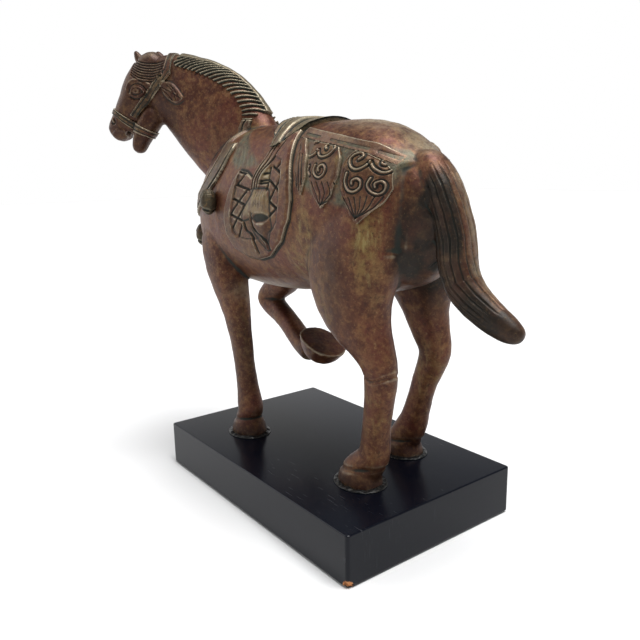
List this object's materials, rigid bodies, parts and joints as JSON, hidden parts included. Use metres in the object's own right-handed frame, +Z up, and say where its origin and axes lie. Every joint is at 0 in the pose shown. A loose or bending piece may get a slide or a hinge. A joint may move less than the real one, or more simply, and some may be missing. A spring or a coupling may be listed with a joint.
{
  "type": "bronze horse statue",
  "caption": "Patinated bronze horse with saddle, bridle and harness in relief, head turned, one foreleg raised, bolted to a rectangular black lacquered wooden plinth.",
  "frame": {"origin": "centre of the plinth on the underside of the felt pad", "axes": "+Z up, +X from the horse's head towards its tail along the plinth's length, the horse's left flank faces -Y"},
  "size_m": [0.4254, 0.1694, 0.3847],
  "materials": {
    "patinated_bronze": "brown-red patina with gold-green wear, satin",
    "dark_patina_bronze": "darker green-brown patina, satin",
    "black_lacquered_wood": "black satin lacquer",
    "black_felt": "matt felt",
    "zinc_plated_steel": "bright zinc plate",
    "black_bedding_resin": "glossy black"
  },
  "bodies": {
    "root": {"torso_casting": "patinated_bronze", "neck_casting": "patinated_bronze", "head_casting": "patinated_bronze", "tail_casting": "patinated_bronze", "left_foreleg_casting": "patinated_bronze", "right_foreleg_casting": "patinated_bronze", "left_hindleg_casting": "patinated_bronze", "right_hindleg_casting": "patinated_bronze", "saddle_flap_left": "patinated_bronze", "saddle_flap_right": "patinated_bronze", "front_pendant_left": "patinated_bronze", "front_pendant_right": "patinated_bronze", "middle_pendant_left": "patinated_bronze", "middle_pendant_right": "patinated_bronze", "rear_pendant_left": "patinated_bronze", "rear_pendant_right": "patinated_bronze", "mane": "dark_patina_bronze", "saddle": "dark_patina_bronze", "collar_left": "dark_patina_bronze", "collar_right": "dark_patina_bronze", "crupper_strap_left": "dark_patina_bronze", "crupper_strap_right": "dark_patina_bronze", "noseband": "dark_patina_bronze", "headstall": "dark_patina_bronze", "bell_left_side": "dark_patina_bronze", "bell_left_front": "dark_patina_bronze", "bell_right_front": "dark_patina_bronze", "bell_right_side": "dark_patina_bronze", "left_fore_stud": "zinc_plated_steel", "left_fore_washer": "zinc_plated_steel", "left_fore_nut": "zinc_plated_steel", "left_hind_stud": "zinc_plated_steel", "left_hind_washer": "zinc_plated_steel", "left_hind_nut": "zinc_plated_steel", "right_hind_stud": "zinc_plated_steel", "right_hind_washer": "zinc_plated_steel", "right_hind_nut": "zinc_plated_steel", "left_fore_bead": "black_bedding_resin", "left_hind_bead": "black_bedding_resin", "right_hind_bead": "black_bedding_resin", "plinth": "black_lacquered_wood", "felt_pad": "black_felt"}
  },
  "joints": []
}
